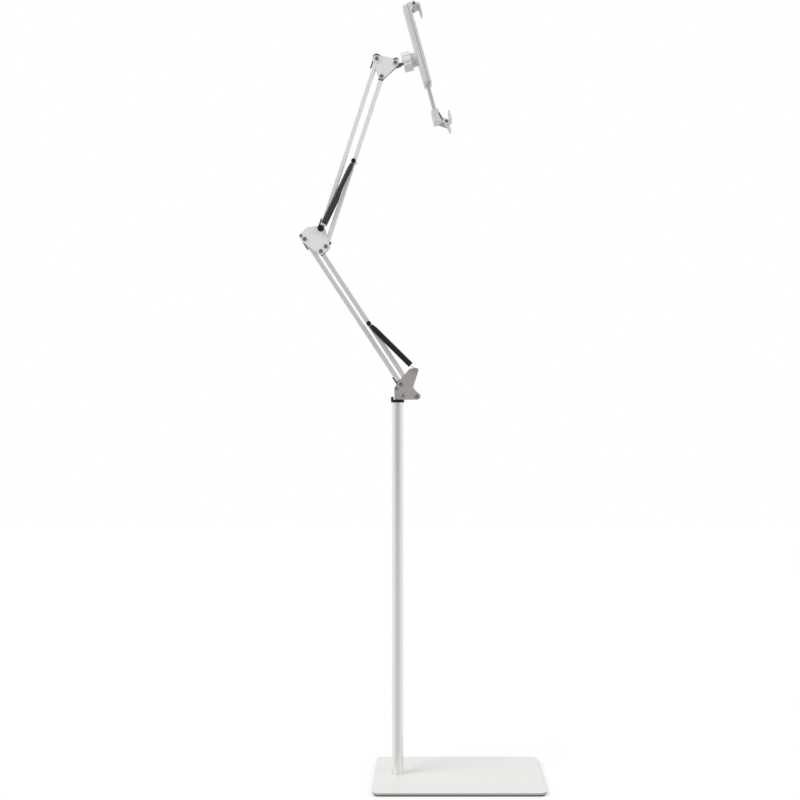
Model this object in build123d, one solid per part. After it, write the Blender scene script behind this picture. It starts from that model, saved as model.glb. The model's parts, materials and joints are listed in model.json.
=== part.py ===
from build123d import *
import os
from math import atan2, cos, degrees, hypot, radians, sin, sqrt

# An adjustable floor stand for a tablet: a flat base, a tall pole, a spring-balanced arm of
# two parallelograms and a clamping holder on a ball joint.
# Lengths are in millimetres and angles in degrees. X runs right along the base, Y runs back,
# Z runs up. The origin is on the floor under the axis of the pole.

# Clearances
fit = 0.05
running_fit = 0.08
side_gap = 0.3
overrun = 1.0

# Base
base_length = 360.0
base_depth = 280.0
base_corner_radius = 14.0
plate_thickness = 5.0
plate_edge_radius = 0.8
mat_thickness = 3.0
mat_inset = 3.0
pole_edge_distance = 49.0
base_screw_diameter = 8.0
base_screw_head_diameter = 15.0
base_screw_head_share = 0.7
base_screw_engagement = 22.0

# Pole and its fittings
pole_diameter = 25.0
pole_wall = 1.5
pole_length = 803.0
foot_plug_length = 32.0
bush_length = 38.0
bush_flange_thickness = 1.2
bush_screw_diameter = 3.0
bush_screw_head_diameter = 5.2
bush_screw_head_height = 1.2
bush_screw_drop = 8.0
bush_screw_bearing = -61.0
swivel_pin_diameter = 12.0
swivel_pin_depth = 34.0
swivel_pin_seat = 14.0
swivel_pin_chamfer = 0.5
washer_diameter = 29.0
washer_thickness = 4.0
washer_tab_height = 6.0
washer_tab_thickness = 3.0
washer_tab_angle = 80.0
washer_edge_radius = 2.2

# Arm tubes and their end plugs
tube_width = 10.0
tube_wall = 1.2
tube_corner_radius = 1.6
tube_inner_corner_share = 0.3
lower_arm_length = 375.0
lower_arm_angle = -33.5
upper_arm_length = 386.0
upper_arm_angle = 18.1
eye_diameter = 11.0
plug_shoulder = 9.0
plug_spigot_length = 16.0
bumper_thickness = 3.0
bumper_width = 7.0
bumper_start = 3.0
bumper_end = 22.0
stop_pad_start = 7.0
stop_pad_end = 13.0

# Fasteners
pivot_diameter = 5.0
bolt_head_diameter = 9.0
bolt_head_height = 2.6
bolt_socket_width = 3.0
bolt_socket_depth = 1.5
nut_width = 8.0
nut_height = 4.0
thread_stub = 1.0
rivet_diameter = 4.0
rivet_head_diameter = 6.8
rivet_head_height = 1.6

# Side cheeks, and where their pivots lie
cheek_thickness = 2.0
lower_link_offset_x = 34.9
lower_link_offset_z = 26.1
upper_link_offset_x = 10.3
upper_link_offset_z = 37.7
inner_pivot_x = 41.8
inner_pivot_rise = 7.5
spring_post_offset_x = -1.8
spring_post_rise = 56.0
waist_offset_x = -16.0
waist_rise = 22.0
cheek_crown_offset_x = -13.0
cheek_crown_rise = 54.5
base_pivot_lobe_radius = 7.5
waist_lobe_radius = 8.0
crown_lobe_radius = 5.0
toe_lobe_radius = 5.0
elbow_lobe_radius = 8.0
elbow_crown_offset_x = 8.0
elbow_crown_rise = 17.5
elbow_step_x = 10.7
elbow_step_z = 10.2
elbow_rivet_offset_x = -8.2
elbow_rivet_rise = 7.2
elbow_rivet_lobe_radius = 4.2
wrist_top_lobe_radius = 9.0
wrist_lobe_radius = 8.0
wrist_heel_lobe_radius = 6.5

# Foot block between the base cheeks
block_left = 6.5
block_right = 18.0
block_height = 19.5
block_corner_radius = 1.5
block_rivet_left = 2.6
block_rivet_rise = 24.2
block_rivet_lobe_radius = 4.3
block_heel_rivet_x = 12.0
block_heel_rivet_rise = 9.0

# Balance springs, their black sleeves and the spools that they hook on
spring_side_distance = 14.0
wire_diameter = 1.8
spool_core_diameter = 6.4
spool_spacer_diameter = 8.4
spool_cap_diameter = 9.0
spool_cap_thickness = 3.0
spool_cap_floor = 1.0
elbow_cap_diameter = 14.0
hook_share = 0.5
hook_sweep_angle = 280.0
lower_sleeve_diameter = 12.0
upper_sleeve_diameter = 10.6
sleeve_wall = 0.8
sleeve_tip_diameter = 8.4
sleeve_tip_distance = 6.8
sleeve_full_distance = 18.0
lower_sleeve_mouth = 17.0
upper_sleeve_mouth = 12.5
coil_recess = 2.0
coil_wall = 1.2
coil_end_thickness = 2.5
lower_tail_length = 42.0
upper_tail_length = 60.0

# Wrist, neck and ball joint
neck_pivot_offset_x = 39.9
neck_pivot_drop = 8.5
cup_washer_diameter = 20.0
neck_washer_diameter = 16.0
cup_washer_thickness = 1.2
neck_lug_diameter = 14.0
neck_stud_diameter = 9.0
neck_throat_diameter = 6.4
neck_throat_length = 15.5
neck_taper_length = 4.0
neck_root_x = 4.0
neck_root_drop = 6.0
ball_offset_x = 26.4
ball_offset_z = 3.9
ball_diameter = 15.0
liner_thickness = 1.2
liner_back = 5.0
liner_front = 6.0
holder_angle = 15.5
socket_diameter = 26.0
socket_back = 3.5
socket_front = 9.0
socket_flange_diameter = 30.4
socket_flange_front = 14.7
socket_spigot_diameter = 10.0
socket_spigot_end = 19.6
nut_grip_diameter = 43.0
nut_grip_back = 10.0
nut_grip_front = 8.5
nut_lip_front = 4.0
nut_mouth_diameter = 19.2
nut_throat_diameter = 15.8
nut_edge_radius = 1.5
nut_scallop_count = 10
nut_scallop_diameter = 9.0
nut_scallop_depth = 1.8
socket_screw_diameter = 4.0
socket_screw_head_diameter = 7.2
socket_screw_head_height = 2.0
socket_screw_flange_diameter = 14.4
socket_screw_flange_thickness = 1.5
socket_screw_length = 7.0

# Holder, measured from the centre of the ball: forward from the ball and up its own length
holder_back_face = 21.0
holder_split = 31.0
holder_front_face = 37.0
holder_width = 52.0
holder_top = 115.0
holder_bottom = -63.0
holder_corner_radius = 8.0
holder_edge_radius = 2.0
holder_seam_chamfer = 0.7
turret_back = 15.0
turret_wall_front = 19.4
recess_diameter = 15.0
bar_width = 24.0
bar_thickness = 8.0
bar_back = 24.0
bar_top = 12.0
bar_seat = 23.0
bar_room = 75.0
bar_corner_radius = 1.0
brake_width = 10.0
brake_length = 14.0
brake_depth = 2.8
brake_place = -45.0
pad_thickness = 1.2
pad_width = 20.0
pad_bottom = -30.0
pad_top = 80.0
holder_screw_diameter = 3.0
holder_screw_head_diameter = 5.6
holder_screw_head_height = 1.4
holder_screw_reach = 12.0
holder_screw_side = 18.5
holder_screw_margin = 14.0

# Jaws and claws
jaw_back = 19.0
jaw_front = 35.0
jaw_top = -120.0
jaw_bottom = -146.0
jaw_edge_radius = 2.0
ear_thickness = 3.5
ear_radius = 4.8
ear_root = 31.0
claw_pin_forward = 45.0
upper_pin_height = 110.2
lower_pin_height = -151.3
claw_pin_diameter = 3.0
claw_pin_head_diameter = 6.0
claw_pin_head_height = 0.8
claw_hub_radius = 4.0
claw_knee_forward = 10.9
claw_knee_inward = 2.0
claw_knee_radius = 1.9
claw_lip_forward = 11.3
claw_lip_inward = 21.0
claw_lip_radius = 1.5
claw_tail_forward = 4.0
claw_tail_outward = 18.0
claw_tail_radius = 1.5

# Levels and places that follow from the sizes above
plate_bottom = mat_thickness
plate_top = plate_bottom + plate_thickness
pole_top = plate_top + pole_length
pole_inner_radius = pole_diameter / 2 - pole_wall
flange_top = pole_top + bush_flange_thickness
washer_bottom = flange_top + side_gap
bracket_bottom = washer_bottom + washer_thickness
cheek_inner = tube_width / 2 + side_gap
cheek_outer = cheek_inner + cheek_thickness
pivot_radius = pivot_diameter / 2
wire_radius = wire_diameter / 2
hook_radius = spool_core_diameter / 2 + side_gap + wire_radius
pin_radius = claw_pin_diameter / 2
claw_half_width = holder_width / 2 - ear_thickness - side_gap


def moved(place, dx, dz):
    """The place (x, z) moved by dx and dz."""
    return (place[0] + dx, place[1] + dz)


def along(place, lean, distance):
    """The place at a distance from place, in a direction that leans from the vertical."""
    return (place[0] + distance * sin(radians(lean)), place[1] + distance * cos(radians(lean)))


base_inner = (inner_pivot_x, bracket_bottom + inner_pivot_rise)
base_outer = moved(base_inner, -lower_link_offset_x, lower_link_offset_z)
base_post = moved(base_inner, spring_post_offset_x, spring_post_rise)
elbow_low_inner = along(base_inner, lower_arm_angle, lower_arm_length)
elbow_low_outer = along(base_outer, lower_arm_angle, lower_arm_length)
elbow_high_inner = moved(elbow_low_inner, elbow_step_x, elbow_step_z)
elbow_high_outer = moved(elbow_high_inner, -upper_link_offset_x, upper_link_offset_z)
wrist_inner = along(elbow_high_inner, upper_arm_angle, upper_arm_length)
wrist_outer = along(elbow_high_outer, upper_arm_angle, upper_arm_length)
neck_pivot = moved(wrist_outer, neck_pivot_offset_x, -neck_pivot_drop)
ball_centre = moved(neck_pivot, ball_offset_x, ball_offset_z)
lower_hook = along(base_inner, lower_arm_angle, lower_arm_length * hook_share)
upper_hook = along(elbow_high_inner, upper_arm_angle, upper_arm_length * hook_share)
block_rivet = (-block_rivet_left, bracket_bottom + block_rivet_rise)
block_heel_rivet = (block_heel_rivet_x, bracket_bottom + block_heel_rivet_rise)
elbow_rivet = moved(elbow_low_outer, elbow_rivet_offset_x, elbow_rivet_rise)


def at(place, lean=0):
    """The frame at the place (x, z), with its Z axis leaning towards +X."""
    return Pos(place[0], 0, place[1]) * Rot(0, lean, 0)


holder_frame = at(ball_centre, -holder_angle)


def rod(radius, y_from, y_to, place):
    """A cylinder along Y."""
    middle = (y_from + y_to) / 2
    return Pos(place[0], middle, place[1]) * Rot(90, 0, 0) * Cylinder(radius, y_to - y_from)


def slab(outline, y_from, y_to):
    """An outline drawn in X and Z, as a plate from y_from to y_to."""
    return Pos(0, y_to, 0) * Rot(90, 0, 0) * extrude(outline, y_to - y_from)


def hull(lobes):
    """The outline that wraps a list of round lobes, each ((x, z), radius)."""
    rounds = [Pos(place[0], place[1]) * Circle(radius) for place, radius in lobes]
    return make_hull([edge for item in rounds for edge in item.edges()])


def box(x_from, x_to, y_from, y_to, z_from, z_to):
    """A block between two corners."""
    middle = Pos((x_from + x_to) / 2, (y_from + y_to) / 2, (z_from + z_to) / 2)
    return middle * Box(x_to - x_from, y_to - y_from, z_to - z_from)


def turned_y(points):
    """A solid of revolution about Y from (radius, y) points."""
    return revolve(make_face(Polyline(*points, close=True)), Axis.Y)


def turned_x(points):
    """A solid of revolution about X from (x, radius) points."""
    return revolve(make_face(Polyline(*points, close=True)), Axis.X)


def turned_z(points):
    """A solid of revolution about Z from (radius, z) points."""
    return revolve(Plane.XZ * make_face(Polyline(*points, close=True)), Axis.Z)


def both_sides(solid):
    """The solid and its mirror image across the plane of the arm, as two solids."""
    return Compound([solid, mirror(solid, Plane.XZ)])


def base_mat():
    outline = RectangleRounded(
        base_length - 2 * mat_inset, base_depth - 2 * mat_inset, base_corner_radius - mat_inset
    )
    return Pos(base_length / 2 - pole_edge_distance, 0, 0) * extrude(outline, mat_thickness)


def base_plate():
    outline = RectangleRounded(base_length, base_depth, base_corner_radius)
    plate = extrude(outline, plate_thickness)
    rims = plate.faces().filter_by(Axis.Z).edges()
    plate = fillet(rims, plate_edge_radius)
    plate = Pos(base_length / 2 - pole_edge_distance, 0, plate_bottom) * plate
    head = base_screw_head_diameter / 2 + fit
    shank = base_screw_diameter / 2 + fit
    head_top = plate_bottom + plate_thickness * base_screw_head_share
    hole = turned_z([
        (0, plate_bottom), (head, plate_bottom), (shank, head_top),
        (shank, plate_top + overrun), (0, plate_top + overrun),
    ])
    return plate - hole


def base_screw():
    head = base_screw_head_diameter / 2
    shank = base_screw_diameter / 2
    head_top = plate_bottom + plate_thickness * base_screw_head_share
    tip = plate_top + base_screw_engagement
    return turned_z([(0, plate_bottom), (head, plate_bottom), (shank, head_top), (shank, tip), (0, tip)])


def pole_foot_plug():
    radius = pole_inner_radius - fit
    bore = base_screw_diameter / 2 + fit
    bottom = plate_top
    top = plate_top + foot_plug_length
    bore_top = plate_top + base_screw_engagement + overrun
    return turned_z([
        (bore, bottom), (radius, bottom), (radius, top), (0, top), (0, bore_top), (bore, bore_top),
    ])


def bush_screw_frame():
    """The frame of the bush screw, with X pointing out of the pole."""
    return Pos(0, 0, pole_top - bush_screw_drop) * Rot(0, 0, bush_screw_bearing)


def bush_screw_cylinder(radius, start, end):
    return bush_screw_frame() * Pos((start + end) / 2, 0, 0) * Rot(0, 90, 0) * Cylinder(radius, end - start)


def bush_screw_start():
    """How far from the axis the screw's tip lies, clear of the swivel pin."""
    return swivel_pin_diameter / 2 + running_fit + side_gap


def pole():
    outer = pole_diameter / 2
    tube = turned_z([
        (pole_inner_radius, plate_top), (outer, plate_top), (outer, pole_top), (pole_inner_radius, pole_top),
    ])
    return tube - bush_screw_cylinder(bush_screw_diameter / 2 + fit, bush_screw_start(), outer + overrun)


def pole_bush():
    bore = swivel_pin_diameter / 2 + running_fit
    body = pole_inner_radius - fit
    flange = pole_diameter / 2
    bottom = pole_top - bush_length
    bush = turned_z([
        (bore, bottom), (body, bottom), (body, pole_top), (flange, pole_top),
        (flange, flange_top), (bore, flange_top),
    ])
    return bush - bush_screw_cylinder(bush_screw_diameter / 2 + fit, bush_screw_start(), flange)


def bush_screw():
    surface = pole_diameter / 2
    shank = bush_screw_cylinder(bush_screw_diameter / 2, bush_screw_start(), surface)
    head = bush_screw_cylinder(bush_screw_head_diameter / 2, surface, surface + bush_screw_head_height)
    return shank + head


def swivel_washer():
    """The black washer under the bracket, whose tab keys it to the bracket's back edge."""
    outer = washer_diameter / 2
    bore = swivel_pin_diameter / 2 + fit
    ring = turned_z([
        (bore, washer_bottom), (outer, washer_bottom), (outer, bracket_bottom), (bore, bracket_bottom),
    ])
    low_rims = ring.edges().filter_by(GeomType.CIRCLE).group_by(Axis.Z)[0]
    ring = fillet(low_rims.sort_by(SortBy.RADIUS)[-1], washer_edge_radius)
    inner = outer - washer_tab_thickness
    profile = make_face(Polyline(
        (inner, bracket_bottom - washer_thickness / 2),
        (outer, bracket_bottom - washer_thickness / 2),
        (outer, bracket_bottom + washer_tab_height),
        (inner, bracket_bottom + washer_tab_height),
        close=True,
    ))
    tab = revolve(Plane.XZ * profile, Axis.Z, washer_tab_angle)
    return ring + Rot(0, 0, 180 - washer_tab_angle / 2) * tab


def swivel_pin():
    bottom = pole_top - swivel_pin_depth
    top = bracket_bottom + swivel_pin_seat
    radius = swivel_pin_diameter / 2
    return turned_z([
        (0, bottom), (radius - swivel_pin_chamfer, bottom), (radius, bottom + swivel_pin_chamfer),
        (radius, top), (0, top),
    ])


def foot_block():
    corner = block_corner_radius
    low = bracket_bottom + corner
    high = bracket_bottom + block_height - corner
    outline = hull([
        ((-block_left + corner, low), corner),
        ((block_right - corner, low), corner),
        ((block_right - corner, high), corner),
        (block_rivet, block_rivet_lobe_radius),
    ])
    block = slab(outline, -cheek_inner, cheek_inner)
    seat_top = bracket_bottom + swivel_pin_seat
    # The pin is wider than the block, so its seat is open at both sides
    seat = Pos(0, 0, (bracket_bottom + seat_top) / 2) * Cylinder(
        swivel_pin_diameter / 2 + fit, seat_top - bracket_bottom
    )
    block = block - seat
    for place in (block_rivet, block_heel_rivet):
        block = block - rod(rivet_diameter / 2 + fit, -cheek_outer, cheek_outer, place)
    return block


def cheek_pair(outlines, pivots, rivets=()):
    """Two side plates of the same outline, with holes for bolts and rivets."""
    plate = slab(outlines[0], cheek_inner, cheek_outer)
    for outline in outlines[1:]:
        plate = plate + slab(outline, cheek_inner, cheek_outer)
    for place in pivots:
        plate = plate - rod(pivot_radius + fit, cheek_inner - overrun, cheek_outer + overrun, place)
    for place in rivets:
        plate = plate - rod(rivet_diameter / 2 + fit, cheek_inner - overrun, cheek_outer + overrun, place)
    return both_sides(plate)


def base_cheeks():
    toe = (-block_left + toe_lobe_radius, bracket_bottom + toe_lobe_radius)
    waist = moved(base_inner, waist_offset_x, waist_rise)
    crown = moved(base_inner, cheek_crown_offset_x, cheek_crown_rise)
    foot = hull([
        (toe, toe_lobe_radius),
        (base_inner, base_pivot_lobe_radius),
        (base_outer, base_pivot_lobe_radius),
        (block_rivet, block_rivet_lobe_radius),
    ])
    horn = hull([
        (base_outer, base_pivot_lobe_radius),
        (waist, waist_lobe_radius),
        (crown, crown_lobe_radius),
        (base_post, crown_lobe_radius),
    ])
    pair = cheek_pair([foot, horn], [base_inner, base_outer, base_post], [block_rivet, block_heel_rivet])
    pin_room = Pos(0, 0, bracket_bottom) * Cylinder(
        swivel_pin_diameter / 2 + fit, 2 * swivel_pin_seat + 2 * fit
    )
    return Compound([solid - pin_room for solid in pair.solids()])


def elbow_cheeks():
    crown = moved(elbow_low_outer, elbow_crown_offset_x, elbow_crown_rise)
    outline = hull([
        (elbow_rivet, elbow_rivet_lobe_radius),
        (elbow_low_outer, elbow_lobe_radius),
        (crown, elbow_lobe_radius),
        (elbow_high_outer, elbow_lobe_radius),
        (elbow_high_inner, elbow_lobe_radius),
        (elbow_low_inner, elbow_lobe_radius),
    ])
    pivots = [elbow_low_outer, elbow_low_inner, elbow_high_outer, elbow_high_inner]
    return cheek_pair([outline], pivots, [elbow_rivet])


def wrist_cheeks():
    outline = hull([
        (wrist_outer, wrist_top_lobe_radius),
        (neck_pivot, wrist_lobe_radius),
        (wrist_inner, wrist_heel_lobe_radius),
    ])
    return cheek_pair([outline], [wrist_outer, wrist_inner, neck_pivot])


def bolt(place, washer=0):
    """A button-head bolt through two cheeks, with its head in front."""
    seat = -cheek_outer - washer
    tip = cheek_outer + washer + nut_height + thread_stub
    shank = rod(pivot_radius, seat, tip, place)
    head = rod(bolt_head_diameter / 2, seat - bolt_head_height, seat, place)
    crown = head.edges().filter_by(GeomType.CIRCLE).sort_by(Axis.Y)[0]
    head = fillet(crown, bolt_head_height / 2)
    recess = Pos(place[0], seat - bolt_head_height + bolt_socket_depth, place[1]) * Rot(90, 0, 0) * extrude(
        RegularPolygon(bolt_socket_width / 2, 6, major_radius=False), bolt_socket_depth + overrun
    )
    return shank + head - recess


def nut(place, washer=0):
    """A hexagon nut on the back of a bolt."""
    seat = cheek_outer + washer
    body = Pos(place[0], seat + nut_height, place[1]) * Rot(90, 0, 0) * extrude(
        RegularPolygon(nut_width / 2, 6, major_radius=False), nut_height
    )
    return body - rod(pivot_radius + fit, seat - overrun, seat + nut_height + overrun, place)


def rivet(place):
    shank = rod(rivet_diameter / 2, -cheek_outer, cheek_outer, place)
    head = rod(rivet_head_diameter / 2, cheek_outer, cheek_outer + rivet_head_height, place)
    rim = head.edges().filter_by(GeomType.CIRCLE).sort_by(Axis.Y)[-1]
    head = fillet(rim, rivet_head_height / 2)
    return shank + head + mirror(head, Plane.XZ)


def cup_washer(place, diameter):
    ring = rod(diameter / 2, cheek_outer, cheek_outer + cup_washer_thickness, place)
    rim = ring.edges().filter_by(GeomType.CIRCLE).sort_by(Axis.Y)[-1]
    ring = fillet(rim, cup_washer_thickness / 2)
    return ring - rod(pivot_radius + fit, cheek_outer - overrun, cheek_outer + 2 * overrun, place)


def arm_tube(place, lean, length):
    """A square tube between the shoulders of its two end plugs."""
    outer = RectangleRounded(tube_width, tube_width, tube_corner_radius)
    bore = tube_width - 2 * tube_wall
    inner = RectangleRounded(bore, bore, tube_corner_radius * tube_inner_corner_share)
    tube = extrude(outer - inner, length - 2 * plug_shoulder)
    return at(place, lean) * Pos(0, 0, plug_shoulder) * tube


def drilled_tube(place, lean, length):
    """An arm tube with a cross hole for its spring pin."""
    hole = rod(pivot_radius + fit, -tube_width, tube_width, along(place, lean, length * hook_share))
    return arm_tube(place, lean, length) - hole


def end_plug(bumper=False, stop_pad=False):
    """A nylon plug with its eye at the origin and its spigot up inside the tube.

    The outer links have a long bumper on their outer side. The upper inner link has a short stop pad on
    its other side, at its foot.
    """
    half = tube_width / 2
    spigot = half - tube_wall - fit
    plug = rod(eye_diameter / 2, -half, half, (0, 0))
    plug = plug + box(-half, half, -half, half, 0, plug_shoulder)
    outline = RectangleRounded(2 * spigot, 2 * spigot, tube_corner_radius * tube_inner_corner_share)
    plug = plug + Pos(0, 0, plug_shoulder) * extrude(outline, plug_spigot_length)
    if bumper:
        low = -half - bumper_thickness
        plug = plug + box(low, -half, -bumper_width / 2, bumper_width / 2, bumper_start, bumper_end)
    if stop_pad:
        high = half + bumper_thickness
        plug = plug + box(half, high, -bumper_width / 2, bumper_width / 2, stop_pad_start, stop_pad_end)
    return plug - rod(pivot_radius + running_fit, -half - overrun, half + overrun, (0, 0))


def plug_pair(place, lean, length, bumper=False, stop_pad=False):
    """The plugs at both ends of a tube, with the bumpers on the same side of it."""
    low = end_plug(bumper, stop_pad)
    high = Pos(0, 0, length) * mirror(end_plug(bumper), Plane.XY)
    return Compound([at(place, lean) * low, at(place, lean) * high])


def spool(seat, cap_diameter):
    """A black spool on a cross pin: a spacer, a groove for the spring's hook and a blind cap."""
    bore = pivot_radius + fit
    groove = wire_radius + side_gap
    cap_start = spring_side_distance + groove
    cap_end = cap_start + spool_cap_thickness
    return turned_y([
        (bore, seat),
        (spool_spacer_diameter / 2, seat),
        (spool_spacer_diameter / 2, spring_side_distance - groove),
        (spool_core_diameter / 2, spring_side_distance - groove),
        (spool_core_diameter / 2, cap_start),
        (cap_diameter / 2, cap_start),
        (cap_diameter / 2, cap_end),
        (0, cap_end),
        (0, cap_end - spool_cap_floor),
        (bore, cap_end - spool_cap_floor),
    ])


def spool_pair(place, seat, cap_diameter=spool_cap_diameter):
    return both_sides(at(place) * spool(seat, cap_diameter))


def spring_pin_end():
    """How far out a spring pin reaches, just short of the floor in a spool's cap."""
    return spring_side_distance + wire_radius + side_gap + spool_cap_thickness - spool_cap_floor - fit


def spring_pin(place):
    """A plain pin that ends inside the two spools."""
    return rod(pivot_radius, -spring_pin_end(), spring_pin_end(), place)


def spring_studs(place):
    """A stud in each cheek, so that the arm tube can swing between them."""
    return both_sides(rod(pivot_radius, cheek_inner, spring_pin_end(), place))


def hook(length):
    """A wire hook round the origin, whose straight shank runs up Z for a length."""
    shank = Line((0, length), (0, sqrt(3) * hook_radius))
    bend = JernArc(shank @ 1, shank % 1, hook_radius, 60)
    loop = JernArc(bend @ 1, bend % 1, hook_radius, -hook_sweep_angle)
    path = Curve() + [shank, bend, loop]
    wire = sweep(Plane(origin=shank @ 0, z_dir=shank % 0) * Circle(wire_radius), path=path)
    return Rot(90, 0, 0) * wire


def spring_places(post, hook_place):
    """The frames at a spring's post and at its hook pin, each pointing at the other, and the span."""
    dx = hook_place[0] - post[0]
    dz = hook_place[1] - post[1]
    lean = degrees(atan2(dx, dz))
    return at(post, lean), at(hook_place, lean + 180), hypot(dx, dz)


def spring_tails(post, hook_place, length):
    frame, _, _ = spring_places(post, hook_place)
    return both_sides(Pos(0, spring_side_distance, 0) * frame * hook(length))


def coil_radii(sleeve_diameter):
    outer = sleeve_diameter / 2 - sleeve_wall - fit
    return outer, outer - coil_wall


def spring_coils(post, hook_place, sleeve_diameter, mouth):
    """The wound length as a plain closed tube, with the upper hook on its end."""
    _, frame, span = spring_places(post, hook_place)
    outer, inner = coil_radii(sleeve_diameter)
    start = sleeve_full_distance
    end = span - mouth - coil_recess
    barrel = turned_z([
        (0, start), (outer, start), (outer, end), (inner, end),
        (inner, start + coil_end_thickness), (0, start + coil_end_thickness),
    ])
    spring = barrel + hook(start + coil_end_thickness / 2)
    return both_sides(Pos(0, spring_side_distance, 0) * frame * spring)


def spring_sleeves(post, hook_place, sleeve_diameter, mouth):
    """The black sleeve over the wound length, tapered to the hook and open at its mouth."""
    _, frame, span = spring_places(post, hook_place)
    outer = sleeve_diameter / 2
    inner = outer - sleeve_wall
    tip = sleeve_tip_diameter / 2
    neck = tip - sleeve_wall
    full = sleeve_full_distance - fit
    end = span - mouth
    sleeve = turned_z([
        (neck, sleeve_tip_distance), (tip, sleeve_tip_distance), (outer, full),
        (outer, end), (inner, end), (inner, full),
    ])
    return both_sides(Pos(0, spring_side_distance, 0) * frame * sleeve)


def neck():
    """The dark neck: a lug between the wrist cheeks, a stud and the ball."""
    half = tube_width / 2
    lug = rod(neck_lug_diameter / 2, -half, half, neck_pivot)
    root = moved(neck_pivot, neck_root_x, -neck_root_drop)
    dx = ball_centre[0] - root[0]
    dz = ball_centre[1] - root[1]
    span = hypot(dx, dz)
    stud_end = span - neck_throat_length - neck_taper_length / 2
    throat_start = span - neck_throat_length + neck_taper_length / 2
    wide = neck_stud_diameter / 2
    thin = neck_throat_diameter / 2
    stud = turned_z([(0, 0), (wide, 0), (wide, stud_end), (thin, throat_start), (thin, span), (0, span)])
    root_ball = at(root) * Sphere(wide)
    body = lug + root_ball + at(root, degrees(atan2(dx, dz))) * stud
    body = body + at(ball_centre) * Sphere(ball_diameter / 2)
    return body - rod(pivot_radius + running_fit, -half - overrun, half + overrun, neck_pivot)


def liner_radii():
    inner = ball_diameter / 2 + side_gap
    return inner, inner + liner_thickness


def cavity_radius():
    return liner_radii()[1] + side_gap


def ball_liner():
    """A nylon shell round the ball, open to the back for the stud."""
    inner, outer = liner_radii()
    shell = Sphere(outer) - Sphere(inner)
    band = box(-liner_back, liner_front, -outer, outer, -outer, outer)
    return holder_frame * (shell & band)


def ball_socket():
    """The socket: a threaded cup for the nut, a flange and a spigot that the holder turns on."""
    cup = socket_diameter / 2
    flange = socket_flange_diameter / 2
    spigot = socket_spigot_diameter / 2
    body = turned_x([
        (-socket_back, 0), (-socket_back, cup), (socket_front, cup), (socket_front, flange),
        (socket_flange_front, flange), (socket_flange_front, spigot),
        (socket_spigot_end, spigot), (socket_spigot_end, 0),
    ])
    body = body - Sphere(cavity_radius())
    tapped = turned_x([
        (socket_spigot_end - socket_screw_length - overrun, 0),
        (socket_spigot_end - socket_screw_length - overrun, socket_screw_diameter / 2 + fit),
        (socket_spigot_end + overrun, socket_screw_diameter / 2 + fit),
        (socket_spigot_end + overrun, 0),
    ])
    return holder_frame * (body - tapped)


def socket_screw():
    """The flanged screw that keeps the holder on the socket's spigot."""
    seat = socket_spigot_end + 2 * fit
    flange_end = seat + socket_screw_flange_thickness
    head_end = flange_end + socket_screw_head_height
    return holder_frame * turned_x([
        (seat - socket_screw_length, 0), (seat - socket_screw_length, socket_screw_diameter / 2),
        (seat, socket_screw_diameter / 2), (seat, socket_screw_flange_diameter / 2),
        (flange_end, socket_screw_flange_diameter / 2), (flange_end, socket_screw_head_diameter / 2),
        (head_end, socket_screw_head_diameter / 2), (head_end, 0),
    ])


def clamp_nut():
    """The scalloped hand nut that tightens the ball joint."""
    grip = nut_grip_diameter / 2
    bore = socket_diameter / 2 + running_fit
    length = nut_grip_back + nut_grip_front
    body = Pos((nut_grip_front - nut_grip_back) / 2, 0, 0) * Rot(0, 90, 0) * Cylinder(grip, length)
    body = fillet(body.edges().filter_by(GeomType.CIRCLE), nut_edge_radius)
    scallop = nut_scallop_diameter / 2
    reach = grip + scallop - nut_scallop_depth
    for index in range(nut_scallop_count):
        cutter = Rot(0, 90, 0) * Cylinder(scallop, 2 * (length + overrun))
        body = body - Rot(index * 360 / nut_scallop_count, 0, 0) * Pos(0, 0, reach) * cutter
    hollow = turned_x([
        (-nut_lip_front, 0), (-nut_lip_front, bore),
        (nut_grip_front + overrun, bore), (nut_grip_front + overrun, 0),
    ])
    slope = (nut_mouth_diameter - nut_throat_diameter) / 2 / (nut_grip_back - liner_back)
    mouth = turned_x([
        (-nut_grip_back - overrun, 0),
        (-nut_grip_back - overrun, nut_mouth_diameter / 2 + slope * overrun),
        (-liner_back, nut_throat_diameter / 2), (-nut_lip_front + overrun, nut_throat_diameter / 2),
        (-nut_lip_front + overrun, 0),
    ])
    return holder_frame * (body - hollow - mouth - Sphere(cavity_radius()))


def bar_channel(front):
    """The space in which the slide bar runs, up to a front level."""
    side = bar_width / 2 + side_gap
    return box(bar_back - side_gap, front, -side, side, holder_bottom - overrun, bar_room)


def shell_block(back, front):
    """A rounded block of the holder's outline between two levels."""
    height = holder_top - holder_bottom
    outline = RectangleRounded(holder_width, height, holder_corner_radius)
    block = extrude(Plane.YZ * Pos(0, (holder_top + holder_bottom) / 2) * outline, front - back)
    return Pos(back, 0, 0) * block


def holder_screw_places():
    high = holder_top - holder_screw_margin
    low = holder_bottom + holder_screw_margin
    return [(side * holder_screw_side, level) for side in (-1, 1) for level in (low, high)]


def rod_x(radius, x_from, x_to, y=0, z=0):
    """A cylinder along X."""
    return Pos((x_from + x_to) / 2, y, z) * Rot(0, 90, 0) * Cylinder(radius, x_to - x_from)


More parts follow.
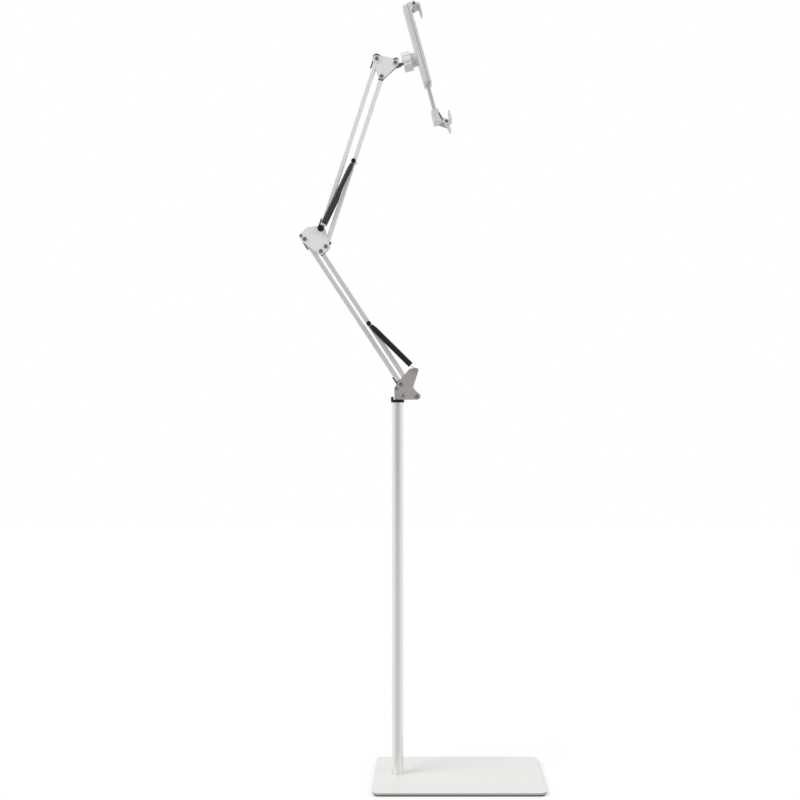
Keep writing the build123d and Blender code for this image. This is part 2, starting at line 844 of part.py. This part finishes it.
def holder_back():
    """The holder's back shell, with the round turret that turns on the socket."""
    shell = shell_block(holder_back_face, holder_split)
    seam = shell.faces().sort_by(Axis.X)[-1].edges()
    shell = chamfer(seam, holder_seam_chamfer)
    rim = shell.faces().sort_by(Axis.X)[0].edges()
    shell = fillet(rim, holder_edge_radius)
    shell = shell + rod_x(socket_flange_diameter / 2, turret_back, holder_back_face + overrun)
    shell = shell - bar_channel(holder_split + overrun)
    shell = shell - rod_x(socket_spigot_diameter / 2 + running_fit, turret_back - overrun, holder_split)
    shell = shell - rod_x(recess_diameter / 2, turret_wall_front, holder_split + overrun)
    head_start = holder_back_face - overrun
    head_end = holder_back_face + holder_screw_head_height
    for y, z in holder_screw_places():
        shell = shell - rod_x(holder_screw_head_diameter / 2 + fit, head_start, head_end, y, z)
        shell = shell - rod_x(holder_screw_diameter / 2 + fit, head_end, holder_split + overrun, y, z)
    return holder_frame * shell


def ear(pin_height, root_height):
    """A side ear that carries a claw's pin, on the +Y side."""
    outline = hull([((claw_pin_forward, pin_height), ear_radius), ((ear_root, root_height), ear_radius)])
    return slab(outline, holder_width / 2 - ear_thickness, holder_width / 2)


def with_ears(body, pin_height, root_height):
    """A jaw body with its two ears, drilled for the claw's pin."""
    one = ear(pin_height, root_height)
    body = body + one + mirror(one, Plane.XZ)
    return body - rod(pin_radius + fit, -holder_width, holder_width, (claw_pin_forward, pin_height))


def holder_front():
    """The front shell: the face that the tablet lies against, with the upper ears."""
    shell = shell_block(holder_split, holder_front_face)
    seam = shell.faces().sort_by(Axis.X)[0].edges()
    shell = chamfer(seam, holder_seam_chamfer)
    rim = shell.faces().sort_by(Axis.X)[-1].edges()
    shell = fillet(rim, holder_edge_radius)
    shell = with_ears(shell, upper_pin_height, upper_pin_height)
    shell = shell & box(holder_split, 2 * holder_front_face, -holder_width, holder_width,
                        holder_bottom, holder_top)
    channel_front = bar_back + bar_thickness + side_gap
    shell = shell - bar_channel(channel_front)
    half = brake_width / 2 + fit
    low = brake_place - brake_length / 2 - fit
    high = brake_place + brake_length / 2 + fit
    shell = shell - box(holder_split, channel_front + brake_depth + fit, -half, half, low, high)
    for y, z in holder_screw_places():
        tip = holder_back_face + holder_screw_reach + fit
        shell = shell - rod_x(holder_screw_diameter / 2 + fit, holder_split - overrun, tip, y, z)
    return holder_frame * shell


def holder_screws():
    screws = []
    for y, z in holder_screw_places():
        head_end = holder_back_face + holder_screw_head_height
        head = rod_x(holder_screw_head_diameter / 2, holder_back_face + fit, head_end, y, z)
        shank = rod_x(holder_screw_diameter / 2, head_end, holder_back_face + holder_screw_reach, y, z)
        screws.append(holder_frame * (head + shank))
    return Compound(screws)


def slide_brake():
    """The nylon block in the front shell that holds the slide bar by friction."""
    back = bar_back + bar_thickness + side_gap
    half = brake_width / 2
    low = brake_place - brake_length / 2
    high = brake_place + brake_length / 2
    return holder_frame * box(back, back + brake_depth, -half, half, low, high)


def holder_pad():
    front = holder_front_face + pad_thickness
    half = pad_width / 2
    pad = box(holder_front_face, front, -half, half, pad_bottom, pad_top)
    pad = fillet(pad.faces().sort_by(Axis.X)[-1].edges(), pad_thickness / 2)
    return holder_frame * pad


def slide_bar():
    bottom = jaw_top - bar_seat
    outline = RectangleRounded(bar_thickness, bar_width, bar_corner_radius)
    bar = Pos(bar_back + bar_thickness / 2, 0, bottom) * extrude(outline, bar_top - bottom)
    return holder_frame * bar


def lower_jaw():
    """The sliding jaw: a block on the end of the bar, with two ears for the claw."""
    half = holder_width / 2
    block = box(jaw_back, jaw_front, -half, half, jaw_bottom, jaw_top)
    block = fillet(block.faces().sort_by(Axis.X)[0].edges(), jaw_edge_radius)
    block = with_ears(block, lower_pin_height, jaw_bottom + ear_radius)
    seat = box(bar_back - fit, bar_back + bar_thickness + fit, -bar_width / 2 - fit, bar_width / 2 + fit,
               jaw_top - bar_seat - fit, jaw_top + overrun)
    return holder_frame * (block - seat)


def claw(pin_height, inward):
    """A hooked claw that swings on its pin: hub, knee, lip and thumb tail. inward is 1 or -1."""
    hub = (claw_pin_forward, pin_height)
    knee = moved(hub, claw_knee_forward, inward * claw_knee_inward)
    lip = moved(hub, claw_lip_forward, inward * claw_lip_inward)
    tail = moved(hub, claw_tail_forward, -inward * claw_tail_outward)
    bends = [
        [(hub, claw_hub_radius), (knee, claw_knee_radius)],
        [(knee, claw_knee_radius), (lip, claw_lip_radius)],
        [(hub, claw_tail_radius), (tail, claw_tail_radius)],
    ]
    body = slab(hull(bends[0]), -claw_half_width, claw_half_width)
    for bend in bends[1:]:
        body = body + slab(hull(bend), -claw_half_width, claw_half_width)
    body = body - rod(pin_radius + running_fit, -holder_width, holder_width, hub)
    return holder_frame * body


def claw_pin(pin_height):
    half = holder_width / 2
    place = (claw_pin_forward, pin_height)
    pin = rod(pin_radius, -half, half, place)
    head = rod(claw_pin_head_diameter / 2, half, half + claw_pin_head_height, place)
    return holder_frame * (pin + head + mirror(head, Plane.XZ))


def group(*solids):
    """Separate solids in one node."""
    return Compound([solid for item in solids for solid in item.solids()])


tube_seat = tube_width / 2
lower_spring = (base_post, lower_hook)
upper_spring = (elbow_high_outer, upper_hook)

nodes = {
    "base_mat": base_mat(),
    "base_plate": base_plate(),
    "base_screw": base_screw(),
    "pole_foot_plug": pole_foot_plug(),
    "pole": pole(),
    "pole_bush": pole_bush(),
    "bush_screw": bush_screw(),
    "swivel_washer": swivel_washer(),
    "swivel_pin": swivel_pin(),
    "foot_block": foot_block(),
    "base_cheeks": base_cheeks(),
    "base_bolts": group(bolt(base_inner), bolt(base_outer)),
    "base_nuts": group(nut(base_inner), nut(base_outer)),
    "base_rivets": group(rivet(block_rivet), rivet(block_heel_rivet)),
    "base_spring_pin": spring_studs(base_post),
    "base_spools": spool_pair(base_post, cheek_outer),
    "lower_inner_tube": drilled_tube(base_inner, lower_arm_angle, lower_arm_length),
    "lower_inner_plugs": plug_pair(base_inner, lower_arm_angle, lower_arm_length),
    "lower_hook_pin": spring_pin(lower_hook),
    "lower_hook_spools": spool_pair(lower_hook, tube_seat),
    "lower_outer_tube": arm_tube(base_outer, lower_arm_angle, lower_arm_length),
    "lower_outer_plugs": plug_pair(base_outer, lower_arm_angle, lower_arm_length, True),
    "lower_spring_coils": spring_coils(*lower_spring, lower_sleeve_diameter, lower_sleeve_mouth),
    "lower_spring_sleeves": spring_sleeves(*lower_spring, lower_sleeve_diameter, lower_sleeve_mouth),
    "lower_spring_tails": spring_tails(*lower_spring, lower_tail_length),
    "elbow_cheeks": elbow_cheeks(),
    "elbow_bolts": group(bolt(elbow_low_outer), bolt(elbow_low_inner), bolt(elbow_high_inner)),
    "elbow_nuts": group(nut(elbow_low_outer), nut(elbow_low_inner), nut(elbow_high_inner)),
    "elbow_rivet": rivet(elbow_rivet),
    "elbow_spring_pin": spring_pin(elbow_high_outer),
    "elbow_spools": spool_pair(elbow_high_outer, cheek_outer, elbow_cap_diameter),
    "upper_inner_tube": drilled_tube(elbow_high_inner, upper_arm_angle, upper_arm_length),
    "upper_inner_plugs": plug_pair(
        elbow_high_inner, upper_arm_angle, upper_arm_length, stop_pad=True
    ),
    "upper_hook_pin": spring_pin(upper_hook),
    "upper_hook_spools": spool_pair(upper_hook, tube_seat),
    "upper_outer_tube": arm_tube(elbow_high_outer, upper_arm_angle, upper_arm_length),
    "upper_outer_plugs": plug_pair(elbow_high_outer, upper_arm_angle, upper_arm_length, True),
    "upper_spring_coils": spring_coils(*upper_spring, upper_sleeve_diameter, upper_sleeve_mouth),
    "upper_spring_sleeves": spring_sleeves(*upper_spring, upper_sleeve_diameter, upper_sleeve_mouth),
    "upper_spring_tails": spring_tails(*upper_spring, upper_tail_length),
    "wrist_cheeks": wrist_cheeks(),
    "wrist_bolts": group(
        bolt(wrist_outer, cup_washer_thickness), bolt(wrist_inner), bolt(neck_pivot, cup_washer_thickness)
    ),
    "wrist_nuts": group(
        nut(wrist_outer, cup_washer_thickness), nut(wrist_inner), nut(neck_pivot, cup_washer_thickness)
    ),
    "wrist_washers": group(
        both_sides(cup_washer(wrist_outer, cup_washer_diameter)),
        both_sides(cup_washer(neck_pivot, neck_washer_diameter)),
    ),
    "neck": neck(),
    "ball_liner": ball_liner(),
    "ball_socket": ball_socket(),
    "socket_screw": socket_screw(),
    "clamp_nut": clamp_nut(),
    "holder_back": holder_back(),
    "holder_front": holder_front(),
    "holder_screws": holder_screws(),
    "holder_pad": holder_pad(),
    "slide_brake": slide_brake(),
    "slide_bar": slide_bar(),
    "lower_jaw": lower_jaw(),
    "lower_claw": claw(lower_pin_height, 1),
    "lower_claw_pin": claw_pin(lower_pin_height),
    "upper_claw": claw(upper_pin_height, -1),
    "upper_claw_pin": claw_pin(upper_pin_height),
}

os.makedirs("parts", exist_ok=True)
for name, solid in nodes.items():
    export_step(solid, f"parts/{name}.step")
print(len(nodes), "nodes")
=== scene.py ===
import json
from math import cos, pi, radians, sin

import bpy
from mathutils import Matrix, Vector


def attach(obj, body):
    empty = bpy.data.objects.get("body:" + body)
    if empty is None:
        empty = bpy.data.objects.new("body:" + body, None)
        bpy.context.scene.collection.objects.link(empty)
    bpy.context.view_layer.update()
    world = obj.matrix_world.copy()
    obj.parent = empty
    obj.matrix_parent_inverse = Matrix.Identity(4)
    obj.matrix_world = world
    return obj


# The camera, which stands in front of the stand at the height of the pole's top
CAMERA_DISTANCE = 2.833
CAMERA_X = 0.070
CAMERA_HEIGHT = 0.805
CAMERA_LENS_MM = 59.0
CAMERA_SENSOR_MM = 36.0
CAMERA_SHIFT_X = -0.0375
CAMERA_SHIFT_Y = 0.00625
CAMERA_REACH = 50

# The two sides of the object that trim is repeated on, as signs of Y
SIDES = (("front", -1), ("back", 1))
LINE_ROUNDNESS = 2

# The seam between the holder's shells, forward from the ball's centre and up the holder from it
HOLDER_BODY = "holder"
HOLDER_SPLIT = 0.031
HOLDER_WIDTH = 0.052
HOLDER_TOP = 0.115
HOLDER_BOTTOM = -0.063
HOLDER_CORNER = 0.008
BAR_SLOT = 0.0256
SEAM_DEPTH = 0.00035
SEAM_WIDTH = 0.0006
SEAM_STEPS = 6

# Painted dark reflections on the upper rims of the wrist's domed washers: X, Z, radius and half
# the arc in degrees
WRIST_BODY = "wrist"
RIM_REFLECTIONS = ((-0.0449, 1.5515, 0.0091, 58), (-0.0030, 1.5430, 0.0088, 46))
RIM_REACH = 0.0086
RIM_WIDTH = 0.0036
RIM_TAPER = 0.6
RIM_STEPS = 16

# The strips on the lower jaw's sides, with ends forward from the ball and up the holder from it
JAW_BODY = "lower_jaw"
STRIP_ENDS = ((0.0340, -0.1290), (0.0375, -0.1480))
STRIP_REACH = 0.0250
STRIP_WIDTH = 0.0042
STRIP_TAPER = 0.3
STRIP_STEPS = 4

# The lip under the swivel washer, round the pole's top
WASHER_BODY = "base_bracket"
LIP_TOP = 0.8132
LIP_DEPTH = 0.0028
LIP_BORE = 0.0256
LIP_DIAMETER = 0.0286
LIP_STEPS = 6
LIP_SIDES = 48

# The fine grain of painted and rubber faces
GRAIN_SCALE = 400.0
GRAIN_DETAIL = 2
GRAIN_HEIGHT = 0.0002

# The base plate's upright edge, painted darker than its top as painted shade
PLATE_EDGE_PAINTED_SHADE = (0.43, 0.43, 0.42)

# The room
FLOOR_SIZE = 12.0
FLOOR_DROP = 0.0005
FLOOR_MATTE = 0.7
FLOOR_ROUGHNESS = 0.95
FLOOR_LIFT = 0.42
WORLD_LIGHT = 0.55
FRONT = (0, -1, 0)
FRONT_DARKNESS = 0.6
FRONT_SPREAD = 1.5
KEY_DIRECTION = (0.68, 0.50, -0.62)
KEY_STRENGTH = 1.25
FILL_DIRECTION = (-0.75, 0.5, -0.45)
FILL_STRENGTH = 0.45
SUN_SOFTNESS = 40
WHITE = (1.0, 1.0, 1.0, 1.0)

# Where a Mix node has its factor, and its two inputs and its output for numbers and for colours
MIX_FACTOR = 0
MIX_SOCKETS = {"FLOAT": (2, 3, 0), "RGBA": (6, 7, 2)}

# How each finish looks: its colour, its roughness and what differs from a plain paint
FINISHES = {
    "rubber": dict(colour=(0.06, 0.06, 0.058), roughness=0.8, grain=0.3),
    "white_paint": dict(colour=(0.86, 0.85, 0.84), roughness=0.38, coat=0.2),
    "base_paint": dict(colour=(0.94, 0.94, 0.915), roughness=0.42, grain=0.12, grain_scale=900),
    "pole_metal": dict(colour=(0.82, 0.815, 0.80), roughness=0.2, metallic=0.75),
    # The lower tubes' colour, darker than the upper tubes', is painted shade
    "lower_tube_with_painted_shade": dict(colour=(0.74, 0.725, 0.71), roughness=0.35, metallic=0.4),
    "upper_tube": dict(colour=(0.90, 0.89, 0.885), roughness=0.35, metallic=0.2),
    "bracket_metal": dict(colour=(0.47, 0.445, 0.43), roughness=0.42, metallic=0.5),
    "steel": dict(colour=(0.27, 0.27, 0.27), roughness=0.32, metallic=0.8),
    "spring_coil": dict(colour=(0.05, 0.05, 0.05), roughness=0.4, metallic=0.6),
    "spring_wire": dict(colour=(0.55, 0.55, 0.54), roughness=0.3, metallic=0.8),
    # Also used for the painted dark reflections on the wrist's washer rims
    "plug": dict(colour=(0.085, 0.083, 0.080), roughness=0.5, gloss=0.3),
    "black": dict(colour=(0.010, 0.010, 0.010), roughness=0.5, gloss=0.2),
    "lower_sleeve": dict(colour=(0.012, 0.012, 0.011), roughness=0.55, grain=0.2, gloss=0.2),
    "upper_sleeve": dict(colour=(0.030, 0.029, 0.028), roughness=0.5, grain=0.2, gloss=0.4),
    "housing": dict(colour=(0.70, 0.68, 0.71), roughness=0.4, coat=0.15),
    "nut": dict(colour=(0.82, 0.79, 0.83), roughness=0.38, coat=0.2),
    "grey": dict(colour=(0.28, 0.275, 0.27), roughness=0.45),
    "neck": dict(colour=(0.15, 0.145, 0.155), roughness=0.4, metallic=0.3),
    "bar": dict(colour=(0.68, 0.68, 0.68), roughness=0.3, metallic=0.6),
    "nylon": dict(colour=(0.70, 0.70, 0.67), roughness=0.5),
    "seam": dict(colour=(0.06, 0.055, 0.065), roughness=0.7, gloss=0.2),
    "pad": dict(colour=(0.05, 0.05, 0.052), roughness=0.7, grain=0.2),
}

# The solids that each finish is on
NODE_FINISHES = {
    "rubber": ["base_mat"],
    "base_paint": ["base_plate"],
    "pole_metal": ["pole", "bush_screw"],
    "lower_tube_with_painted_shade": ["lower_inner_tube", "lower_outer_tube"],
    "upper_tube": ["upper_inner_tube", "upper_outer_tube"],
    "bracket_metal": ["foot_block", "base_cheeks"],
    "white_paint": ["elbow_cheeks", "wrist_cheeks", "wrist_washers"],
    "steel": [
        "base_screw", "pole_foot_plug", "swivel_pin", "base_bolts", "base_nuts",
        "base_rivets", "base_spring_pin", "lower_hook_pin", "elbow_bolts", "elbow_nuts",
        "elbow_rivet", "elbow_spring_pin", "upper_hook_pin", "wrist_bolts", "wrist_nuts",
        "socket_screw", "holder_screws",
    ],
    "black": ["swivel_washer", "lower_hook_spools", "elbow_spools", "upper_hook_spools"],
    "plug": [
        "lower_inner_plugs", "lower_outer_plugs", "upper_inner_plugs", "upper_outer_plugs",
        "lower_claw_pin", "upper_claw_pin",
    ],
    "lower_sleeve": ["lower_spring_sleeves"],
    "upper_sleeve": ["upper_spring_sleeves"],
    "spring_coil": ["lower_spring_coils", "upper_spring_coils"],
    "spring_wire": ["lower_spring_tails", "upper_spring_tails"],
    "grey": ["base_spools"],
    "neck": ["neck"],
    "nylon": ["pole_bush", "ball_liner", "slide_brake"],
    "housing": [
        "holder_back", "holder_front", "ball_socket", "lower_jaw", "lower_claw", "upper_claw",
    ],
    "nut": ["clamp_nut"],
    "bar": ["slide_bar"],
    "pad": ["holder_pad"],
}

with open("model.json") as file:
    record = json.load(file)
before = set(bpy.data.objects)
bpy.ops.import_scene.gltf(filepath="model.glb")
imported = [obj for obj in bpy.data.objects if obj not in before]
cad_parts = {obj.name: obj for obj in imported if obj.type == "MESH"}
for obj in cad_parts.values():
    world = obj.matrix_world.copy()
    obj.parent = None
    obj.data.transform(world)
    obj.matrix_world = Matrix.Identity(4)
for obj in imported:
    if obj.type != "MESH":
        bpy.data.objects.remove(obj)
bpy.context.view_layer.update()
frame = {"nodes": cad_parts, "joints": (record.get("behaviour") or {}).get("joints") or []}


def feed(tree, socket, value):
    """Gives a socket its value, which is a plain one or another node's output socket."""
    if isinstance(value, bpy.types.NodeSocket):
        tree.links.new(value, socket)
    else:
        socket.default_value = value


def maths(tree, operation, first, second):
    """A maths node between two numbers or sockets, as its output socket."""
    node = tree.nodes.new("ShaderNodeMath")
    node.operation = operation
    feed(tree, node.inputs[0], first)
    feed(tree, node.inputs[1], second)
    return node.outputs["Value"]


def mixed(tree, kind, factor, none, full):
    """A mix of two values or sockets, FLOAT or RGBA in kind, as its output socket."""
    node = tree.nodes.new("ShaderNodeMix")
    node.data_type = kind
    first, second, result = MIX_SOCKETS[kind]
    feed(tree, node.inputs[MIX_FACTOR], factor)
    feed(tree, node.inputs[first], none)
    feed(tree, node.inputs[second], full)
    return node.outputs[result]


def add_grain(tree, shader, strength, scale):
    """Puts a fine bump of noise on a surface."""
    noise = tree.nodes.new("ShaderNodeTexNoise")
    noise.inputs["Scale"].default_value = scale
    noise.inputs["Detail"].default_value = GRAIN_DETAIL
    place = tree.nodes.new("ShaderNodeTexCoord")
    bump = tree.nodes.new("ShaderNodeBump")
    bump.inputs["Strength"].default_value = strength
    bump.inputs["Distance"].default_value = GRAIN_HEIGHT
    tree.links.new(place.outputs["Object"], noise.inputs["Vector"])
    tree.links.new(noise.outputs["Fac"], bump.inputs["Height"])
    tree.links.new(bump.outputs["Normal"], shader.inputs["Normal"])


def material(name, colour, roughness, metallic=0.0, coat=0.0, grain=0.0,
             grain_scale=GRAIN_SCALE, gloss=0.5):
    """A plain finish. grain is how strong its bump is, and gloss the specular level."""
    made = bpy.data.materials.new(name)
    made.use_nodes = True
    tree = made.node_tree
    shader = tree.nodes["Principled BSDF"]
    shader.inputs["Base Color"].default_value = (*colour, 1)
    shader.inputs["Roughness"].default_value = roughness
    shader.inputs["Metallic"].default_value = metallic
    shader.inputs["Coat Weight"].default_value = coat
    shader.inputs["Specular IOR Level"].default_value = gloss
    if grain:
        add_grain(tree, shader, grain, grain_scale)
    return made


def paint_shade_on_sides(finish, shade_colour):
    """Painted shade: the finish's upright faces take another, darker colour than the ones that
    lie flat.
    """
    tree = finish.node_tree
    colour = tree.nodes["Principled BSDF"].inputs["Base Color"]
    surface = tree.nodes.new("ShaderNodeNewGeometry")
    parts = tree.nodes.new("ShaderNodeSeparateXYZ")
    tree.links.new(surface.outputs["Normal"], parts.inputs["Vector"])
    top_colour = tuple(colour.default_value)
    mix = mixed(tree, "RGBA", parts.outputs["Z"], (*shade_colour, 1), top_colour)
    tree.links.new(mix, colour)


def finish_solids():
    """Puts each finish on its solids."""
    for finish, names in NODE_FINISHES.items():
        for name in names:
            mesh = frame["nodes"][name].data
            mesh.materials.clear()
            mesh.materials.append(finishes[finish])


def holder_place():
    """The holder's own frame: X forward from the ball's centre and Z up the holder."""
    joints = {joint["name"]: joint for joint in frame["joints"]}
    centre = Vector(joints["holder_tilt"]["pos_m"])
    forward = Vector(joints["holder_spin"]["axis"]).normalized()
    side = Vector((0, 1, 0))
    turn = Matrix((forward, side, forward.cross(side))).transposed().to_4x4()
    return Matrix.Translation(centre) @ turn


def seam_route():
    """The seam's line round the shells, in Y and Z, open where the slide bar comes out."""
    low = HOLDER_BOTTOM + SEAM_DEPTH
    radius = HOLDER_CORNER - SEAM_DEPTH
    side = HOLDER_WIDTH / 2 - SEAM_DEPTH - radius
    bottom = low + radius
    top = HOLDER_TOP - SEAM_DEPTH - radius
    corners = ((side, bottom), (side, top), (-side, top), (-side, bottom))
    points = [(BAR_SLOT / 2, low)]
    for quarter, (y, z) in enumerate(corners, start=-1):
        for step in range(SEAM_STEPS + 1):
            angle = (quarter + step / SEAM_STEPS) * pi / 2
            points.append((y + radius * cos(angle), z + radius * sin(angle)))
    points.append((-BAR_SLOT / 2, low))
    return points


def thin_line(name, points, width, finish, body, taper=0.0):
    """A thin round line of trim through points, on a body. taper is how much its ends narrow."""
    curve = bpy.data.curves.new(name, "CURVE")
    curve.dimensions = "3D"
    curve.bevel_depth = width / 2
    curve.bevel_resolution = LINE_ROUNDNESS
    curve.use_fill_caps = True
    line = curve.splines.new("POLY")
    last = len(points) - 1
    line.points.add(last)
    for number, (point, place) in enumerate(zip(line.points, points)):
        point.co = (*place, 1)
        point.radius = 1 - taper * abs(2 * number / last - 1)
    trim = bpy.data.objects.new(name, curve)
    bpy.context.collection.objects.link(trim)
    curve.materials.append(finishes[finish])
    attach(trim, body)


def holder_seam():
    """The dark shadow gap between the holder's two shells, in the groove of their seam."""
    place = holder_place()
    points = [place @ Vector((HOLDER_SPLIT, y, z)) for y, z in seam_route()]
    thin_line("holder_seam", points, SEAM_WIDTH, "seam", HOLDER_BODY)


def wrist_rim_reflections():
    """Painted dark reflections on the upper rims of the domed washers on the wrist's bolts, on
    both sides.
    """
    turns = [2 * step / RIM_STEPS - 1 for step in range(RIM_STEPS + 1)]
    for number, (x, z, radius, spread) in enumerate(RIM_REFLECTIONS):
        angles = [radians(spread) * turn for turn in turns]
        for label, side in SIDES:
            y = side * RIM_REACH
            points = [(x + radius * sin(angle), y, z + radius * cos(angle)) for angle in angles]
            name = f"wrist_rim_{label}_{number}"
            # The black plug finish paints the rims' dark reflection
            thin_line(name, points, RIM_WIDTH, "plug", WRIST_BODY, RIM_TAPER)


def jaw_strips():
    """The dark strips on both sides of the lower jaw, at the roots of the claw's ears."""
    place = holder_place()
    for label, side in SIDES:
        y = side * STRIP_REACH
        top, bottom = (Vector((forward, y, up)) for forward, up in STRIP_ENDS)
        steps = range(STRIP_STEPS + 1)
        points = [place @ top.lerp(bottom, step / STRIP_STEPS) for step in steps]
        thin_line(f"jaw_strip_{label}", points, STRIP_WIDTH, "plug", JAW_BODY, STRIP_TAPER)


def lip_profile():
    """The washer's lip in section, as radii and heights: a step at the bore and a rounded rim."""
    inner = LIP_BORE / 2
    bulge = (LIP_DIAMETER - LIP_BORE) / 2
    profile = [(inner, LIP_TOP), (inner, LIP_TOP - LIP_DEPTH)]
    for step in range(1, LIP_STEPS + 1):
        angle = step / LIP_STEPS * pi / 2
        profile.append((inner + bulge * sin(angle), LIP_TOP - LIP_DEPTH * cos(angle)))
    return profile


def washer_lip():
    """The rounded lip that the swivel washer hangs over the pole's top, as a turned ring."""
    profile = lip_profile()
    count = len(profile)
    points, faces = [], []
    for turn in range(LIP_SIDES):
        angle = 2 * pi * turn / LIP_SIDES
        points += [(radius * cos(angle), radius * sin(angle), z) for radius, z in profile]
        here, there = turn * count, (turn + 1) % LIP_SIDES * count
        for low in range(count):
            high = (low + 1) % count
            faces.append((here + high, here + low, there + low, there + high))
    mesh = bpy.data.meshes.new("washer_lip")
    mesh.from_pydata(points, [], faces)
    mesh.shade_smooth()
    mesh.materials.append(finishes["black"])
    lip = bpy.data.objects.new("washer_lip", mesh)
    bpy.context.collection.objects.link(lip)
    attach(lip, WASHER_BODY)


def mirror_level(tree, direction, level, darkness):
    """How bright a reflection is: the level, less the darkness where it points to the front."""
    front = tree.nodes.new("ShaderNodeVectorMath")
    front.operation = "DOT_PRODUCT"
    front.inputs[1].default_value = FRONT
    tree.links.new(direction, front.inputs[0])
    facing = maths(tree, "MAXIMUM", front.outputs["Value"], 0.0)
    nearness = maths(tree, "POWER", facing, FRONT_SPREAD)
    return maths(tree, "SUBTRACT", level, maths(tree, "MULTIPLY", nearness, darkness))


def seen_level(tree, light, reflection, camera_ray):
    """A strength that differs between the light itself, reflections and the camera's own view."""
    rays = tree.nodes.new("ShaderNodeLightPath")
    unseen = mixed(tree, "FLOAT", rays.outputs["Is Glossy Ray"], light, reflection)
    return mixed(tree, "FLOAT", rays.outputs["Is Camera Ray"], unseen, camera_ray)


def room_material():
    """A matte white that takes shadows, lifted to white for the camera and for reflections."""
    made = bpy.data.materials.new("room")
    made.use_nodes = True
    tree = made.node_tree
    shader = tree.nodes["Principled BSDF"]
    shader.inputs["Base Color"].default_value = (FLOOR_MATTE, FLOOR_MATTE, FLOOR_MATTE, 1)
    shader.inputs["Roughness"].default_value = FLOOR_ROUGHNESS
    shader.inputs["Specular IOR Level"].default_value = 0.0
    shader.inputs["Emission Color"].default_value = WHITE
    place = tree.nodes.new("ShaderNodeNewGeometry")
    direction = tree.nodes.new("ShaderNodeVectorMath")
    direction.operation = "NORMALIZE"
    tree.links.new(place.outputs["Position"], direction.inputs[0])
    mirrored = mirror_level(tree, direction.outputs["Vector"], FLOOR_LIFT, FLOOR_LIFT)
    strength = seen_level(tree, 0.0, mirrored, FLOOR_LIFT)
    tree.links.new(strength, shader.inputs["Emission Strength"])
    return made


def floor():
    """The white floor, just under the stand."""
    finish = room_material()
    bpy.ops.mesh.primitive_plane_add(size=FLOOR_SIZE, location=(0, 0, -FLOOR_DROP))
    sheet = bpy.context.object
    sheet.name = "floor"
    sheet.data.materials.append(finish)


def world_light():
    """An even white world, in whose reflections the side in front of the stand is darker."""
    world = bpy.data.worlds.new("studio")
    bpy.context.scene.world = world
    world.use_nodes = True
    tree = world.node_tree
    background = tree.nodes["Background"]
    background.inputs["Color"].default_value = WHITE
    place = tree.nodes.new("ShaderNodeTexCoord")
    mirrored = mirror_level(tree, place.outputs["Generated"], 1.0, FRONT_DARKNESS)
    strength = seen_level(tree, WORLD_LIGHT, mirrored, 1.0)
    tree.links.new(strength, background.inputs["Strength"])


def sun(name, direction, strength):
    """A soft sun that shines along a direction."""
    data = bpy.data.lights.new(name, "SUN")
    data.energy = strength
    data.angle = radians(SUN_SOFTNESS)
    light = bpy.data.objects.new(name, data)
    light.rotation_euler = Vector(direction).to_track_quat("-Z", "Y").to_euler()
    bpy.context.collection.objects.link(light)


def camera():
    """The camera, level and square to the stand, with the frame shifted to it."""
    data = bpy.data.cameras.new("camera")
    data.lens = CAMERA_LENS_MM
    data.sensor_width = CAMERA_SENSOR_MM
    data.shift_x = CAMERA_SHIFT_X
    data.shift_y = CAMERA_SHIFT_Y
    data.clip_end = CAMERA_REACH
    view = bpy.data.objects.new("camera", data)
    view.location = (CAMERA_X, -CAMERA_DISTANCE, CAMERA_HEIGHT)
    view.rotation_euler = (pi / 2, 0, 0)
    bpy.context.collection.objects.link(view)
    bpy.context.scene.camera = view


finishes = {name: material(name, **look) for name, look in FINISHES.items()}
# The base plate's darker upright edge is painted shade
paint_shade_on_sides(finishes["base_paint"], PLATE_EDGE_PAINTED_SHADE)
finish_solids()

holder_seam()
wrist_rim_reflections()
jaw_strips()
washer_lip()

floor()
world_light()
sun("key", KEY_DIRECTION, KEY_STRENGTH)
sun("fill", FILL_DIRECTION, FILL_STRENGTH)
camera()
bpy.context.scene.view_settings.view_transform = "Standard"
